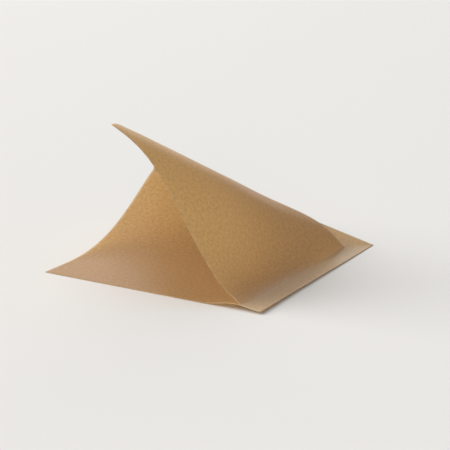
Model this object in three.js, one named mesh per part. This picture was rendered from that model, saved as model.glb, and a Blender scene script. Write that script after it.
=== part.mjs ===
// A flat square paper bag that lies half open. Two plies of kraft paper are glued together along
// the two sides that meet at the closed corner, and the other two sides are open.
// The lower ply lies on the table and curls up at the back, and the upper ply stands off it in one
// sweep that ends in a raised tip.
import * as THREE from "three";

// Driving sizes, in millimetres
const SIDE = 170; // each side of the square that the bag is made from
const PLY = 0.1; // one ply of paper
const SEAL = 15; // width of the glued strip along each closed side

// The lower ply's curl. It lies flat up to a ray from the closed corner, and rises beyond it.
const CURL_START = 50; // degrees from the side seal to the ray where the curl begins
const CURL_MIDDLE = new THREE.Vector3(-1, -16, 32); // handle that shapes the start of the curl
const CURL_END = new THREE.Vector3(1, -23, 51); // how far the curl carries the back corner

// The lower ply's front edge, which stands a little off the table beside the front corner
const WAVE_HEIGHT = 3.5; // height of the wave at the edge
const WAVE_PLACE = 19; // from the front corner to the top of the wave
const WAVE_WIDTH = 15; // half width of the wave along the edge
const WAVE_DEPTH = 60; // how far the wave reaches under the bag

// The side seal's outer edge, which stands a little off the table, most of all in its front half
const EDGE_MIDDLE = 3; // handle that shapes the rise towards the front
const EDGE_END = 0.8; // height of the front corner

// The upper ply's rise from the lower one, as handles of a smooth patch. Each row runs from beside
// the side seal to the left edge, and the rows go from beside the back seal to the front edge.
const RISE = [
  [[67, 29, 128], [-46, -25, -51], [35, 32, 81], [14, 9, 38]],
  [[-23, -22, -47], [62, 42, 185], [-12, -39, -2], [17, -18, 43]],
  [[-13, 2, 13], [78, 4, 70], [42, 15, 115], [43, -4, 106]],
  [[10, 10, 11], [25, -7, 81], [52, 12, 87], [58, 2, 109]],
].map((row) => row.map((handle) => new THREE.Vector3(...handle)));
const SWELL = 0.7; // below 1, the upper ply stands up more steeply beside the back seal

// The mesh
const CELLS = 18; // cells across the open part of a ply, each way
const NORMAL_STEP = 0.5; // step over which a surface normal is measured

const { atan2, hypot, exp, PI } = Math;
const clamp01 = (value) => THREE.MathUtils.clamp(value, 0, 1);
const OPEN_SIDE = SIDE - SEAL; // the unsealed part of a ply, each way

// Weights of a smooth curve's handles at the share t of its way. The degree is one less than the
// number of handles, and each weight is a binomial share, so that together they make 1.
function weights(degree, t) {
  const list = [];
  let ways = 1; // ways to choose k of the degree
  for (let k = 0; k <= degree; k += 1) {
    list.push(ways * t ** k * (1 - t) ** (degree - k));
    ways = (ways * (degree - k)) / (k + 1);
  }
  return list;
}

// Underside of the lower ply. u is the distance from the bag's back edge and v from its right edge.
// The closed corner is at the origin, the side seal runs along -Y and the back seal along -X.
function lowerPly(u, v) {
  const start = THREE.MathUtils.degToRad(CURL_START);
  const turn = clamp01((atan2(v, u) - start) / (PI / 2 - start));
  const [, , middle, end] = weights(3, turn);
  const reach = hypot(u, v) / SIDE;
  const depth = clamp01((u - (SIDE - WAVE_DEPTH)) / WAVE_DEPTH);
  const wave = WAVE_HEIGHT * depth * depth * exp(-(((v - WAVE_PLACE) / WAVE_WIDTH) ** 2));
  const [, , near, corner] = weights(3, clamp01(u / SIDE));
  const lift = (EDGE_MIDDLE * near + EDGE_END * corner) * clamp01(1 - v / SEAL) ** 2;
  return new THREE.Vector3(-v, -u, wave + lift)
    .addScaledVector(CURL_MIDDLE, reach * middle)
    .addScaledVector(CURL_END, reach * end);
}

// Unit normal of a surface, on the side away from the table
function normalOf(surface, u, v) {
  const alongU = surface(u + NORMAL_STEP, v).sub(surface(u - NORMAL_STEP, v));
  const alongV = surface(u, v + NORMAL_STEP).sub(surface(u, v - NORMAL_STEP));
  return alongV.cross(alongU).normalize();
}

// Inner face of the lower ply, which is the pocket's floor
function pocketFloor(u, v) {
  return lowerPly(u, v).addScaledVector(normalOf(lowerPly, u, v), PLY);
}

// Inner face of the upper ply, which is the pocket's ceiling. In the seals it meets the floor.
function pocketCeiling(u, v) {
  const alongU = weights(RISE.length, clamp01((u - SEAL) / OPEN_SIDE) ** SWELL);
  const alongV = weights(RISE[0].length, clamp01((v - SEAL) / OPEN_SIDE));
  const point = pocketFloor(u, v);
  RISE.forEach((row, i) => {
    row.forEach((handle, j) => point.addScaledVector(handle, alongU[i + 1] * alongV[j + 1]));
  });
  return point;
}

// Outer face of the upper ply
function upperPly(u, v) {
  return pocketCeiling(u, v).addScaledVector(normalOf(pocketCeiling, u, v), PLY);
}

// One closed body: the two outer faces run over the whole square, the two faces of the pocket run
// over its unsealed part and meet in a crease along the seals, and rims close the edges.
function bagGeometry() {
  const knots = [0]; // grid lines, closer together beside the seals, where the upper ply bends most
  for (let k = 0; k <= CELLS; k += 1) knots.push(SEAL + OPEN_SIDE * (k / CELLS) ** (1 / SWELL));
  const last = knots.length - 1;
  const positions = [];
  const triangles = [];

  // A face's vertices, numbered by cell corner, from the knot number first
  const face = (surface, first) => {
    const numbers = new Map();
    for (let i = first; i <= last; i += 1) {
      for (let j = first; j <= last; j += 1) {
        numbers.set(`${i},${j}`, positions.length / 3);
        positions.push(...surface(knots[i], knots[j]).toArray());
      }
    }
    return (i, j) => numbers.get(`${i},${j}`);
  };
  const under = face(lowerPly, 0);
  const over = face(upperPly, 0);
  const floor = face(pocketFloor, 1);
  const openCeiling = face(pocketCeiling, 2);
  const ceiling = (i, j) => (i === 1 || j === 1 ? floor(i, j) : openCeiling(i, j));

  const quad = (a, b, c, d) => triangles.push(a, b, c, a, c, d);
  for (let i = 0; i < last; i += 1) {
    for (let j = 0; j < last; j += 1) {
      quad(under(i, j), under(i + 1, j), under(i + 1, j + 1), under(i, j + 1));
      quad(over(i, j), over(i, j + 1), over(i + 1, j + 1), over(i + 1, j));
      if (i > 0 && j > 0) {
        quad(floor(i, j), floor(i, j + 1), floor(i + 1, j + 1), floor(i + 1, j));
        quad(ceiling(i, j), ceiling(i + 1, j), ceiling(i + 1, j + 1), ceiling(i, j + 1));
      }
    }
  }

  // Rims. A rim joins two faces from one corner (i, j) to the next (m, n).
  const rim = (lower, upper, i, j, m, n) => {
    quad(lower(i, j), lower(m, n), upper(m, n), upper(i, j));
  };
  for (let k = 0; k < last; k += 1) {
    rim(under, over, 0, k, 0, k + 1);
    rim(under, over, k + 1, 0, k, 0);
  }
  for (let k = 1; k < last; k += 1) {
    rim(under, floor, last, k + 1, last, k);
    rim(ceiling, over, last, k + 1, last, k);
    rim(under, floor, k, last, k + 1, last);
    rim(ceiling, over, k, last, k + 1, last);
  }
  // The ends of the two seals, where the crease meets the open edges
  quad(under(last, 1), under(last, 0), over(last, 0), over(last, 1));
  triangles.push(under(last, 1), over(last, 1), floor(last, 1));
  quad(under(0, last), under(1, last), over(1, last), over(0, last));
  triangles.push(under(1, last), floor(1, last), over(1, last));

  const geometry = new THREE.BufferGeometry();
  geometry.setAttribute("position", new THREE.Float32BufferAttribute(positions, 3));
  geometry.setIndex(triangles);
  geometry.computeVertexNormals();
  return geometry;
}

// The bag stands with the middle of its outline over the origin and its underside at z = 0
function paperBag() {
  const kraft = new THREE.MeshStandardMaterial({ color: 0xb8925f, roughness: 0.8, metalness: 0 });
  const bag = new THREE.Mesh(bagGeometry(), kraft);
  bag.name = "paper_bag";
  bag.geometry.computeBoundingBox();
  const { min, max } = bag.geometry.boundingBox;
  bag.position.set(-(min.x + max.x) / 2, -(min.y + max.y) / 2, -min.z);
  return bag;
}

const flatPaperBag = new THREE.Group();
flatPaperBag.add(paperBag());

export default flatPaperBag;
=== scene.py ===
"""Dresses a flat square paper bag that lies half open on a pale floor.

The bag is one closed shell of thin kraft paper. Its two plies are functions of the distances u and v
from the bag's back and right edges, worked out over whole grids, and rims join their faces.
"""
import logging
import math
from collections.abc import Callable
from dataclasses import dataclass, field
from enum import Enum

import bpy
import numpy as np
from mathutils import Euler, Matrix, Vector


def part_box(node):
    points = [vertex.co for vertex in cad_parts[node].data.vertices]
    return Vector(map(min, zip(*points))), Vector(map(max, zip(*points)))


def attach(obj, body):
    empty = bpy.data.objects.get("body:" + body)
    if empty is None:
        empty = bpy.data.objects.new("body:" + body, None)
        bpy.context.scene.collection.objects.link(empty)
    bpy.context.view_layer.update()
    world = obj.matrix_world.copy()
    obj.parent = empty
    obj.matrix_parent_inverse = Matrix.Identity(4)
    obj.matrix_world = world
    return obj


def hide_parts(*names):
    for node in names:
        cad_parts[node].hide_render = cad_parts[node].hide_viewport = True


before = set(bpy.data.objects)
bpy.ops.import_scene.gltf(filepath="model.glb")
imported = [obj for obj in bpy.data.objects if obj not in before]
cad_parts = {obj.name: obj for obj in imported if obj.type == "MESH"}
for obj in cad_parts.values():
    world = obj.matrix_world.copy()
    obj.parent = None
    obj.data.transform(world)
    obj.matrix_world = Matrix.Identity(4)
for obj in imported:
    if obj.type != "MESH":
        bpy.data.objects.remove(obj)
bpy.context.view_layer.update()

Surface = Callable[[np.ndarray, np.ndarray], np.ndarray]
Colour = tuple[float, float, float]
Point = tuple[float, float, float]

MM = 0.001  # one millimetre in metres
BAG_NODE = "paper_bag"
BAG_PIECE = "bag_paper"
SHEET_UV = "sheet"  # the bag's UV map: shares of its side across the flat paper
SEAL_MASK = "seal"  # 1 on the glued strips
EDGE_MASK = "edge"  # 1 at the cut edges, fading inwards
CREASE_AND_LIGHT_MASK = "crease_and_painted_light"  # 1 along the line where the plies part: a pale crease on the seal, painted light on the bulge beside it
MIX_SHARE, MIX_FIRST, MIX_SECOND, MIX_RESULT = 0, 6, 7, 2  # sockets of a Mix node of two colours
NOISE_MIDDLE = 0.5  # middle of a noise's range

log = logging.getLogger("paper_bag")


class Ply(Enum):
    """The two plies, each with the place of its own pattern in the UV map."""

    LOWER = 0.0
    UPPER = 1.25


class Link:
    """A shader socket that takes part in arithmetic."""

    def __init__(self, tree: "ShaderTree", socket: bpy.types.NodeSocket) -> None:
        """Wraps one output socket of a tree."""
        self.tree = tree
        self.socket = socket

    def __add__(self, other: "Link | float") -> "Link":
        """This plus other."""
        return self.tree.maths("ADD", self, other)

    def __sub__(self, other: "Link | float") -> "Link":
        """This minus other."""
        return self.tree.maths("SUBTRACT", self, other)

    def __rsub__(self, other: float) -> "Link":
        """Other minus this."""
        return self.tree.maths("SUBTRACT", other, self)

    def __mul__(self, other: "Link | float") -> "Link":
        """This times other."""
        return self.tree.maths("MULTIPLY", self, other)

    __radd__ = __add__
    __rmul__ = __mul__

    def step(self, low: float, high: float) -> "Link":
        """A smooth step from 0 at low to 1 at high."""
        inputs = {"Value": self, "From Min": low, "From Max": high}
        return self.tree.node("ShaderNodeMapRange", {"interpolation_type": "SMOOTHSTEP"}, inputs)


class ShaderTree:
    """A material's nodes, made by name and joined by value."""

    def __init__(self, name: str) -> None:
        """Makes an empty material of that name."""
        self.material = bpy.data.materials.new(name)
        self.material.use_nodes = True
        self.nodes = self.material.node_tree.nodes
        self.links = self.material.node_tree.links
        self.nodes.clear()

    def node(
        self,
        kind: str,
        settings: dict[str, object] | None = None,
        inputs: dict[int | str, object] | None = None,
        out: int | str = 0,
    ) -> Link:
        """Adds a node.

        Args:
            kind: The node's type.
            settings: Its own settings, set first.
            inputs: Values or links by socket name or number.
            out: The output to return.
        Returns:
            A link from that output.
        """
        made = self.nodes.new(kind)
        for key, value in (settings or {}).items():
            setattr(made, key, value)
        for key, value in (inputs or {}).items():
            if isinstance(value, Link):
                self.links.new(value.socket, made.inputs[key])
            else:
                made.inputs[key].default_value = value
        return Link(self, made.outputs[out])

    def maths(self, operation: str, a: Link | float, b: Link | float) -> Link:
        """A Math node of two numbers."""
        return self.node("ShaderNodeMath", {"operation": operation}, {0: a, 1: b})

    def blend(self, share: Link | float, a: Link | Colour, b: Link | Colour) -> Link:
        """Colour a where share is 0 and colour b where it is 1."""
        first, second = (value if isinstance(value, Link) else (*value, 1.0) for value in (a, b))
        inputs = {MIX_SHARE: share, MIX_FIRST: first, MIX_SECOND: second}
        return self.node("ShaderNodeMix", {"data_type": "RGBA"}, inputs, MIX_RESULT)

    def mask(self, name: str) -> Link:
        """A number that the mesh holds for each point, by its name."""
        return self.node("ShaderNodeAttribute", {"attribute_name": name}, None, "Fac")

    def surface(self, shader: Link) -> bpy.types.Material:
        """Ends the tree in that shader and returns the material."""
        output = self.nodes.new("ShaderNodeOutputMaterial")
        self.links.new(shader.socket, output.inputs["Surface"])
        return self.material


@dataclass(frozen=True)
class Grain:
    """One scale of the paper's texture: fractal noise on the flat sheet."""

    per_side: float  # features across the bag's side
    detail: float
    roughness: float
    stretch: Point = (1.0, 1.0, 1.0)  # below 1, the noise is drawn out along that axis
    in_tone: float = 0.0  # its share of the tone
    in_relief: float = 0.0  # its share of the relief

    def noise(self, tree: ShaderTree, sheet: Link) -> Link:
        """The noise itself, from about 0 to 1, at the sheet's own coordinates."""
        where = tree.node("ShaderNodeMapping", None, {"Vector": sheet, "Scale": self.stretch})
        return tree.node("ShaderNodeTexNoise", {"noise_dimensions": "2D"}, {
            "Vector": where,
            "Scale": self.per_side,
            "Detail": self.detail,
            "Roughness": self.roughness,
        })


@dataclass(frozen=True)
class KraftPaper:
    """Thin greaseproof kraft: tan, faintly cloudy, finely fibred, and bright where light shines through."""

    light: Colour = (0.62, 0.45, 0.255)
    dark: Colour = (0.45, 0.30, 0.14)
    fleck: Colour = (0.30, 0.18, 0.08)
    glued: Colour = (0.68, 0.52, 0.33)
    # Pale tint of cut edges and creases; beside the seals the same tint is painted light on the bulge's shaded
    # foot
    pale_cut_and_light: Colour = (0.74, 0.58, 0.40)
    through: Colour = (1.0, 0.79, 0.45)
    clouds: Grain = Grain(75.0, 3.0, 0.6, in_tone=0.5, in_relief=0.4)
    fibres: Grain = Grain(300.0, 3.0, 0.65, (0.35, 1.0, 1.0), in_tone=0.35, in_relief=0.45)
    cross_fibres: Grain = Grain(180.0, 2.0, 0.6, (1.0, 0.5, 1.0), in_tone=0.15, in_relief=0.15)
    flecks: Grain = Grain(120.0, 1.0, 0.5, (0.35, 1.0, 1.0))
    tone_range: tuple[float, float] = (0.38, 0.62)  # tones that are fully dark and fully light
    fleck_range: tuple[float, float] = (0.66, 0.76)  # noise where a fleck begins and is full
    fleck_share: float = 0.35  # how far each of these takes the colour to its own
    glued_share: float = 0.45
    edge_share: float = 0.3
    # Share of the pale tint along the crease: a real pale line on the seal, painted light on the bulge beside
    # it
    crease_and_light_share: float = 0.4
    roughness: float = 0.42
    roughness_spread: float = 0.25
    sheen: float = 0.08
    sheen_roughness: float = 0.4
    relief: float = 0.05 * MM
    relief_strength: float = 0.5
    lets_through: float = 0.50  # share of the shading that is light from behind
    lets_through_glued: float = 0.35
    lets_through_spread: float = 0.25
    edge_blocks: float = 0.12

    def material(self) -> bpy.types.Material:
        """Builds the paper.

        Clouds and fibres are noise on the flat sheet, most fibres drawn out along its grain and some
        across it. Their weighted sums are the tone, from dark to light, and the relief. Flecks,
        glue, pale creases and cut edges then tint the colour, and a band of painted light lightens the
        bulge's shaded foot beside the seals. A Mix Shader adds the light from behind.
        """
        tree = ShaderTree("kraft_paper")
        sheet = tree.node("ShaderNodeUVMap", {"uv_map": SHEET_UV})
        glue, edge, crease_and_painted_light = (tree.mask(name) for name in (SEAL_MASK, EDGE_MASK, CREASE_AND_LIGHT_MASK))
        clouds = self.clouds.noise(tree, sheet)
        fibres = self.fibres.noise(tree, sheet)
        across = self.cross_fibres.noise(tree, sheet)
        flecks = self.flecks.noise(tree, sheet).step(*self.fleck_range)

        tone = clouds * self.clouds.in_tone + fibres * self.fibres.in_tone + across * self.cross_fibres.in_tone
        colour = tree.blend(tone.step(*self.tone_range), self.dark, self.light)
        colour = tree.blend(glue * self.glued_share, colour, self.glued)
        colour = tree.blend(flecks * self.fleck_share, colour, self.fleck)
        # Pale tint at cut edges and creases; beyond the seal the crease band is painted light that lifts the
        # bulge's shade
        colour = tree.blend(edge * self.edge_share + crease_and_painted_light * self.crease_and_light_share, colour, self.pale_cut_and_light)

        height = (
            clouds * self.clouds.in_relief
            + fibres * self.fibres.in_relief
            + across * self.cross_fibres.in_relief
        )
        bump_inputs = {"Height": height, "Strength": self.relief_strength, "Distance": self.relief}
        normal = tree.node("ShaderNodeBump", None, bump_inputs)
        face = tree.node("ShaderNodeBsdfPrincipled", None, {
            "Base Color": colour,
            "Roughness": self.roughness + (tone - NOISE_MIDDLE) * self.roughness_spread,
            "Sheen Weight": self.sheen,
            "Sheen Roughness": self.sheen_roughness,
            "Normal": normal,
        })
        glow_inputs = {"Color": (*self.through, 1.0), "Normal": normal}
        glow = tree.node("ShaderNodeBsdfTranslucent", None, glow_inputs)
        share = (
            self.lets_through
            + (clouds - NOISE_MIDDLE) * self.lets_through_spread
            + glue * (self.lets_through_glued - self.lets_through)
            - edge * self.edge_blocks
        )
        return tree.surface(tree.node("ShaderNodeMixShader", None, {0: share, 1: face, 2: glow}))


@dataclass(frozen=True)
class PlainFloor:
    """A matt, nearly white floor."""

    colour: Colour = (0.80, 0.79, 0.775)
    roughness: float = 0.9

    def material(self) -> bpy.types.Material:
        """Builds the floor's finish, which has no gloss."""
        tree = ShaderTree("plain_floor")
        return tree.surface(tree.node("ShaderNodeBsdfPrincipled", None, {
            "Base Color": (*self.colour, 1.0),
            "Roughness": self.roughness,
            "Specular IOR Level": 0.0,
        }))


def add_object(name: str, data: bpy.types.ID) -> bpy.types.Object:
    """Links a new object of that data to the scene."""
    made = bpy.data.objects.new(name, data)
    bpy.context.scene.collection.objects.link(made)
    return made


def handle_weights(degree: int, t: np.ndarray) -> np.ndarray:
    """Weights of a smooth curve's handles at share t, along a new last axis.

    Weight k is the number of ways to choose k of the degree, times t to the power k, times 1 - t to
    the power of the rest.
    """
    weights = [math.comb(degree, k) * t**k * (1 - t) ** (degree - k) for k in range(degree + 1)]
    return np.stack(weights, axis=-1)


def unit_normal(surface: Surface, u: np.ndarray, v: np.ndarray, step: float) -> np.ndarray:
    """Unit normals away from the floor: the cross product of central differences along v and u."""
    along_u = surface(u + step, v) - surface(u - step, v)
    along_v = surface(u, v + step) - surface(u, v - step)
    normal = np.cross(along_v, along_u)
    return normal / np.linalg.norm(normal, axis=-1, keepdims=True)


@dataclass
class Shell:
    """A mesh gathered from grids of points, with a place on the flat sheet for every face corner."""

    points: list[np.ndarray] = field(default_factory=list)
    places: list[np.ndarray] = field(default_factory=list)
    quads: list[np.ndarray] = field(default_factory=list)
    plies: list[np.ndarray] = field(default_factory=list)
    count: int = 0

    def add_grid(self, points: np.ndarray, u: np.ndarray, v: np.ndarray) -> np.ndarray:
        """Adds a grid of points.

        Args:
            points: Places in space, rows by columns by 3.
            u: Distance of each from the back edge.
            v: Distance of each from the right edge.
        Returns:
            The points' numbers, rows by columns.
        """
        numbers = self.count + np.arange(u.size).reshape(u.shape)
        self.points.append(points.reshape(-1, 3))
        self.places.append(np.stack([u, v], axis=-1).reshape(-1, 2))
        self.count += numbers.size
        return numbers

    def add_quads(self, corners: tuple[np.ndarray, ...], ply: Ply) -> None:
        """Adds faces from four arrays of corner numbers, in turning order as seen from outside."""
        quads = np.stack([corner.ravel() for corner in corners], axis=-1)
        self.quads.append(quads)
        self.plies.append(np.full(len(quads), ply.value))

    def add_cells(self, numbers: np.ndarray, ply: Ply, facing_up: bool) -> None:
        """Adds the cells between a grid's numbers, facing up or down."""
        near, far = numbers[:-1], numbers[1:]
        corners = (near[:, :-1], far[:, :-1], far[:, 1:], near[:, 1:])
        self.add_quads(corners[::-1] if facing_up else corners, ply)

    def add_rim(self, low: np.ndarray, high: np.ndarray, ply: Ply) -> None:
        """Adds the strip between two rows of numbers, which run in turning order seen from outside."""
        self.add_quads((low[:-1], low[1:], high[1:], high[:-1]), ply)

    def mesh(self, name: str, side: float, base: np.ndarray) -> bpy.types.Mesh:
        """Builds the mesh. A quad with a repeated corner becomes a triangle.

        Args:
            name: The mesh's name.
            side: The sheet's side, which is 1 in the UV map.
            base: Where the middle of the outline goes, at the height of the lowest point.
        Returns:
            A mesh with its UV map. A face's corners take their sheet place, moved aside by its ply.
        """
        points = np.concatenate(self.points)
        low, high = points.min(axis=0), points.max(axis=0)
        points = points - [(low[0] + high[0]) / 2, (low[1] + high[1]) / 2, low[2]] + base
        faces = [list(dict.fromkeys(quad)) for quad in np.concatenate(self.quads).tolist()]
        mesh = bpy.data.meshes.new(name)
        mesh.from_pydata(points.tolist(), [], faces)
        corners = np.empty(len(mesh.loops), dtype=np.int32)
        mesh.loops.foreach_get("vertex_index", corners)
        lengths = np.empty(len(mesh.polygons), dtype=np.int32)
        mesh.polygons.foreach_get("loop_total", lengths)
        places = np.concatenate(self.places)[corners] / side
        places[:, 0] += np.repeat(np.concatenate(self.plies), lengths)
        layer = mesh.uv_layers.new(name=SHEET_UV)
        layer.data.foreach_set("uv", places.astype(np.float32).ravel())
        mesh.polygons.foreach_set("use_smooth", np.ones(len(mesh.polygons), dtype=bool))
        mesh.validate()
        mesh.update()
        return mesh


@dataclass
class PaperBag:
    """The bag: two plies glued along two sides, the lower one flat with a curl, the upper one raised.

    Sizes are in metres, and the handles of the upper ply's rise in millimetres. u is the distance
    from the back edge and v from the right edge.
    """

    side: float = 170 * MM  # each side of the square that the bag is made from
    ply: float = 0.1 * MM  # one ply of paper
    seal: float = 15 * MM  # width of the glued strip along each closed side
    curl_start: float = math.radians(50)  # from the side seal to the ray where the curl begins
    curl_middle: Point = (-1 * MM, -16 * MM, 32 * MM)  # shapes the start of the curl
    curl_end: Point = (1 * MM, -23 * MM, 51 * MM)  # how far the curl carries the back corner
    wave_height: float = 3.5 * MM  # top of the wave in the lower ply's front edge
    wave_place: float = 19 * MM  # from the front corner to that top
    wave_width: float = 15 * MM  # half width of the wave along the edge
    wave_depth: float = 60 * MM  # how far the wave reaches under the bag
    edge_middle: float = 3.0 * MM  # shapes the rise of the side seal's outer edge to the front
    edge_end: float = 0.8 * MM  # height of the front corner
    rise: tuple[tuple[Point, ...], ...] = (
        ((67, 29, 128), (-46, -25, -51), (35, 32, 81), (14, 9, 38)),
        ((-23, -22, -47), (62, 42, 185), (-12, -39, -2), (17, -18, 43)),
        ((-13, 2, 13), (78, 4, 70), (42, 15, 115), (43, -4, 106)),
        ((10, 10, 11), (25, -7, 81), (52, 12, 87), (58, 2, 109)),
    )
    swell: float = 0.7  # below 1, the upper ply stands up more steeply beside the back seal
    glue_fade: float = 0.6 * MM  # over which a seal's inner edge fades
    cut_fade: float = 0.35 * MM  # over which a cut edge's paler tint fades inwards
    painted_light_width: float = 4.0 * MM  # width of the painted light beyond the seal, which lifts the shade at the bulge's foot
    crease_outside: float = 0.6 * MM  # width of the pale crease line on the seal
    cells: int = 130  # grid cells across the open part of a ply, each way
    seal_cells: int = 12  # grid cells across a seal
    normal_step: float = 0.5 * MM  # step over which a surface normal is measured
    finish: KraftPaper = field(default_factory=KraftPaper)

    def lower_ply(self, u: np.ndarray, v: np.ndarray) -> np.ndarray:
        """Underside of the lower ply.

        The flat sheet at (-v, -u, 0), with two handles added beyond the curl's first ray. They are
        weighted by the two last cubic weights of the angle's share beyond that ray, and by the
        distance from the closed corner. A bell-shaped wave lifts the front edge, and a low arch the
        side seal's outer edge, most of all in its front half.
        """
        turn = np.clip((np.arctan2(v, u) - self.curl_start) / (math.pi / 2 - self.curl_start), 0, 1)
        curl = handle_weights(3, turn) * (np.hypot(u, v) / self.side)[..., None]
        depth = np.clip((u - (self.side - self.wave_depth)) / self.wave_depth, 0, 1)
        bell = np.exp(-(((v - self.wave_place) / self.wave_width) ** 2))
        wave = self.wave_height * depth**2 * bell
        along = handle_weights(3, np.clip(u / self.side, 0, 1))
        arch = self.edge_middle * along[..., 2] + self.edge_end * along[..., 3]
        lift = arch * np.clip(1 - v / self.seal, 0, 1) ** 2
        flat = np.stack([-v, -u, wave + lift], axis=-1)
        return flat + curl[..., 2:3] * self.curl_middle + curl[..., 3:4] * self.curl_end

    def pocket_floor(self, u: np.ndarray, v: np.ndarray) -> np.ndarray:
        """Inner face of the lower ply: its underside moved one ply along the normal."""
        return self.lower_ply(u, v) + self.ply * unit_normal(self.lower_ply, u, v, self.normal_step)

    def pocket_ceiling(self, u: np.ndarray, v: np.ndarray) -> np.ndarray:
        """Inner face of the upper ply.

        The pocket's floor plus a smooth patch of handles, weighted by the handle weights of the
        shares of the way across the open part. The share from the back seal is raised to the power
        swell. The first handle of each direction is none, so both faces meet along the seals.
        """
        share_u = np.clip((u - self.seal) / (self.side - self.seal), 0, 1) ** self.swell
        share_v = np.clip((v - self.seal) / (self.side - self.seal), 0, 1)
        handles = np.array(self.rise) * MM
        along_u = handle_weights(handles.shape[0], share_u)[..., 1:]
        along_v = handle_weights(handles.shape[1], share_v)[..., 1:]
        return self.pocket_floor(u, v) + np.einsum("...i,...j,ijk->...k", along_u, along_v, handles)

    def upper_ply(self, u: np.ndarray, v: np.ndarray) -> np.ndarray:
        """Outer face of the upper ply: the pocket's ceiling moved one ply along the normal."""
        normal = unit_normal(self.pocket_ceiling, u, v, self.normal_step)
        return self.pocket_ceiling(u, v) + self.ply * normal

    def knots(self) -> np.ndarray:
        """Grid lines from a closed edge to an open one: even across the seal, then closest beside it."""
        strip = np.linspace(0, self.seal, self.seal_cells, endpoint=False)
        share = np.linspace(0, 1, self.cells + 1) ** (1 / self.swell)
        return np.concatenate([strip, self.seal + (self.side - self.seal) * share])

    def shell(self) -> Shell:
        """One closed shell: two outer faces over the square, the pocket's two faces, and the rims."""
        shell = Shell()
        knots = self.knots()
        s = self.seal_cells  # the grid line along a seal's inner edge
        u, v = np.meshgrid(knots, knots, indexing="ij")
        under = shell.add_grid(self.lower_ply(u, v), u, v)
        over = shell.add_grid(self.upper_ply(u, v), u, v)
        inner_u, inner_v = u[s:, s:], v[s:, s:]
        floor = shell.add_grid(self.pocket_floor(inner_u, inner_v), inner_u, inner_v)
        ceiling = floor.copy()
        open_u, open_v = inner_u[1:, 1:], inner_v[1:, 1:]
        ceiling[1:, 1:] = shell.add_grid(self.pocket_ceiling(open_u, open_v), open_u, open_v)

        shell.add_cells(under, Ply.LOWER, facing_up=False)
        shell.add_cells(over, Ply.UPPER, facing_up=True)
        shell.add_cells(floor, Ply.LOWER, facing_up=True)
        shell.add_cells(ceiling, Ply.UPPER, facing_up=False)
        # Closed edges, and the seals' ends in the open edges
        shell.add_rim(under[0], over[0], Ply.LOWER)
        shell.add_rim(under[::-1, 0], over[::-1, 0], Ply.LOWER)
        shell.add_rim(under[-1, s::-1], over[-1, s::-1], Ply.LOWER)
        shell.add_rim(under[: s + 1, -1], over[: s + 1, -1], Ply.LOWER)
        # Open edges of the two plies
        for low, high, ply in ((under[s:, s:], floor, Ply.LOWER), (ceiling, over[s:, s:], Ply.UPPER)):
            shell.add_rim(low[-1, ::-1], high[-1, ::-1], ply)
            shell.add_rim(low[:, -1], high[:, -1], ply)
        # Triangles between the end of a seal and the open edges of the two plies
        at_front = (under[-1, [s]], over[-1, [s]], floor[-1, [0]])
        at_back = (under[[s], -1], floor[[0], -1], over[[s], -1])
        for corners in (at_front, at_back):
            shell.add_quads((*corners, corners[0]), Ply.LOWER)
        return shell

    def masks(self, u: np.ndarray, v: np.ndarray) -> dict[str, np.ndarray]:
        """Where the paper is glued, cut and creased, and where painted light lifts the bulge's shade.

        The glued mask is a smooth step down at the seal's inner edge, half of one less a hyperbolic
        tangent. The cut mask decays from the edges, and the crease mask is a bell on the line where
        the plies part: a narrow pale crease on the seal, and a wider band of painted light on the open
        side that lifts the shade at the bulge's foot.
        """
        beyond_seal = np.minimum(u, v) - self.seal
        to_edge = np.minimum(np.minimum(u, v), self.side - np.maximum(u, v))
        # Narrow on the seal for the pale crease; wide beyond it, where the band is painted light
        crease_and_light_width = np.where(beyond_seal > 0, self.painted_light_width, self.crease_outside)
        return {
            SEAL_MASK: (1 - np.tanh(beyond_seal / (2 * self.glue_fade))) / 2,
            EDGE_MASK: np.exp(-to_edge / self.cut_fade),
            CREASE_AND_LIGHT_MASK: np.exp(-((beyond_seal / crease_and_light_width) ** 2)),
        }

    def build(self) -> bpy.types.Object:
        """Makes the bag in the solid's place, dresses it, and rides it on the body."""
        low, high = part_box(BAG_NODE)
        base = np.array([(low.x + high.x) / 2, (low.y + high.y) / 2, low.z])
        shell = self.shell()
        mesh = shell.mesh(BAG_PIECE, self.side, base)
        places = np.concatenate(shell.places)
        for name, values in self.masks(places[:, 0], places[:, 1]).items():
            layer = mesh.attributes.new(name, "FLOAT", "POINT")
            layer.data.foreach_set("value", values.astype(np.float32))
        mesh.materials.append(self.finish.material())
        piece = add_object(BAG_PIECE, mesh)
        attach(piece, "root")
        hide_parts(BAG_NODE)
        return piece


@dataclass(frozen=True)
class SoftLamp:
    """A large square lamp that shines at the bag."""

    name: str
    place: Point
    side: float
    power: float
    colour: Colour = (1.0, 0.99, 0.975)

    def build(self) -> bpy.types.Object:
        """Makes the lamp, turned towards the bag."""
        data = bpy.data.lights.new(self.name, "AREA")
        data.shape = "SQUARE"
        data.size = self.side
        data.energy = self.power
        data.color = self.colour
        lamp = add_object(self.name, data)
        lamp.location = self.place
        lamp.rotation_euler = (-Vector(self.place)).to_track_quat("-Z", "Y").to_euler()
        return lamp


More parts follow.
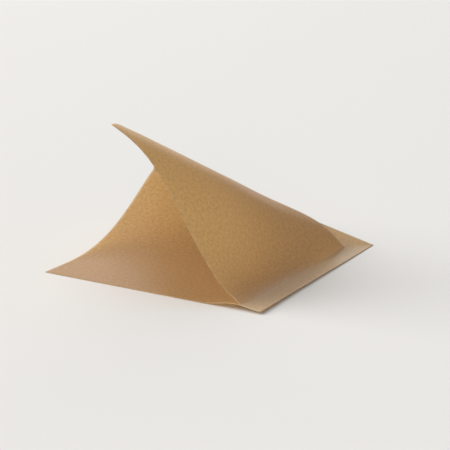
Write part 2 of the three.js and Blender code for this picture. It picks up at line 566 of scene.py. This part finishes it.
@dataclass
class Studio:
    """A plain floor, an even sky, four soft lamps and the camera of the picture."""

    floor_side: float = 40.0
    floor_drop: float = 0.2 * MM  # keeps the floor clear of the bag's underside
    floor_finish: PlainFloor = field(default_factory=PlainFloor)
    sky: Colour = (1.0, 1.0, 1.0)
    sky_strength: float = 0.24
    lamps: tuple[SoftLamp, ...] = (
        SoftLamp("window", (-15.2, -5.6, 9.2), 12.0, 3600.0),
        SoftLamp("ceiling", (-3.2, 4.8, 16.0), 18.0, 960.0),
        SoftLamp("backdrop", (-9.6, 16.4, 6.0), 12.8, 1020.0),
        SoftLamp("fill", (8.0, -14.0, 3.6), 6.4, 560.0),
    )
    camera_from_corner: Point = (0.3693, -0.8388, 0.2802)
    azimuth: float = math.radians(30.57)
    elevation: float = math.radians(16.20)
    roll: float = math.radians(-0.25)
    focal_pixels: float = 1300.0
    frame_pixels: float = 450.0
    sensor_mm: float = 36.0

    def lay_floor(self) -> None:
        """A square floor just under the bag."""
        half = self.floor_side / 2
        outline = ((-half, -half), (half, -half), (half, half), (-half, half))
        mesh = bpy.data.meshes.new("floor")
        mesh.from_pydata([(x, y, -self.floor_drop) for x, y in outline], [], [(0, 1, 2, 3)])
        mesh.materials.append(self.floor_finish.material())
        add_object("floor", mesh)

    def hang_lights(self) -> None:
        """The sky and the lamps."""
        world = bpy.data.worlds.new("sky")
        world.use_nodes = True
        background = world.node_tree.nodes["Background"]
        background.inputs["Color"].default_value = (*self.sky, 1.0)
        background.inputs["Strength"].default_value = self.sky_strength
        bpy.context.scene.world = world
        for lamp in self.lamps:
            lamp.build()

    def place_camera(self, corner: Point) -> None:
        """The picture's camera, set from the bag's closed corner."""
        data = bpy.data.cameras.new("camera")
        data.sensor_fit = "HORIZONTAL"
        data.sensor_width = self.sensor_mm
        data.lens = self.sensor_mm * self.focal_pixels / self.frame_pixels
        camera = add_object("camera", data)
        camera.location = Vector(corner) + Vector(self.camera_from_corner)
        turn = Euler((math.pi / 2 - self.elevation, 0.0, self.azimuth)).to_matrix()
        camera.rotation_euler = (turn @ Euler((0.0, 0.0, self.roll)).to_matrix()).to_euler()
        bpy.context.scene.camera = camera

    def build(self, corner: Point) -> None:
        """Builds the whole studio round the bag's closed corner."""
        self.lay_floor()
        self.hang_lights()
        self.place_camera(corner)
        bpy.context.scene.view_settings.view_transform = "Standard"


def main() -> None:
    """Builds the studio and the bag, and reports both."""
    logging.basicConfig(level=logging.INFO, format="%(name)s %(message)s")
    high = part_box(BAG_NODE)[1]
    studio = Studio()
    studio.build((high.x, high.y, 0.0))
    log.info("studio: floor, sky, %d lamps and camera", len(studio.lamps))
    bag = PaperBag().build()
    log.info("%s: %d faces", bag.name, len(bag.data.polygons))


if __name__ == "__main__":
    main()
